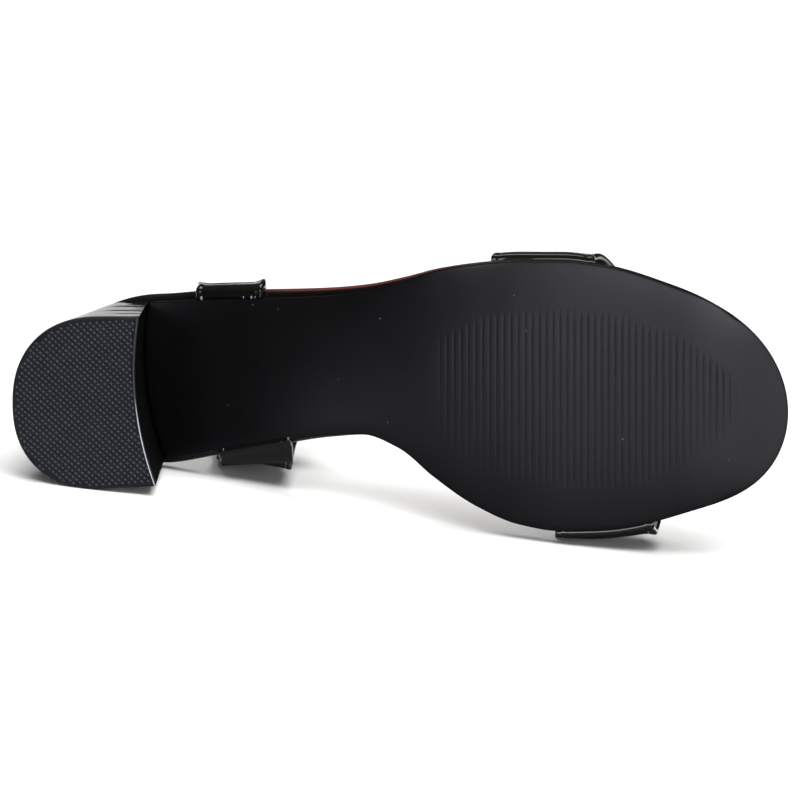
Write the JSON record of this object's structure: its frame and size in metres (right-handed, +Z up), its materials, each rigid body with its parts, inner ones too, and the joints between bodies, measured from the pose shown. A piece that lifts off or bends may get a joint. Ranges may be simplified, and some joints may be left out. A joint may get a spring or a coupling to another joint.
{
  "type": "heeled sandal",
  "caption": "Open sandal for the right foot on a block heel: contoured footbed, patent toe band and instep band, ribbed outsole; it lies on its inner side.",
  "frame": {"origin": "middle of the footprint's box, on the floor that the shoe lies on", "axes": "+X from the heel towards the toe, +Y from the tread towards the bands, +Z up, the outer side of the foot on top"},
  "size_m": [0.2414, 0.1116, 0.0912],
  "materials": {
    "sole_rubber": "black moulded sole rubber, satin, fine ribs under the forefoot",
    "patent": "black patent leather, mirror gloss",
    "lining": "reddish brown lining leather, matt",
    "lift_rubber": "charcoal heel rubber with a fine diamond tread"
  },
  "bodies": {
    "root": {"outsole": "sole_rubber", "footbed": "patent", "insole": "lining", "toe_strap": "patent", "instep_strap": "patent", "heel": "patent", "top_lift": "lift_rubber"}
  },
  "joints": []
}
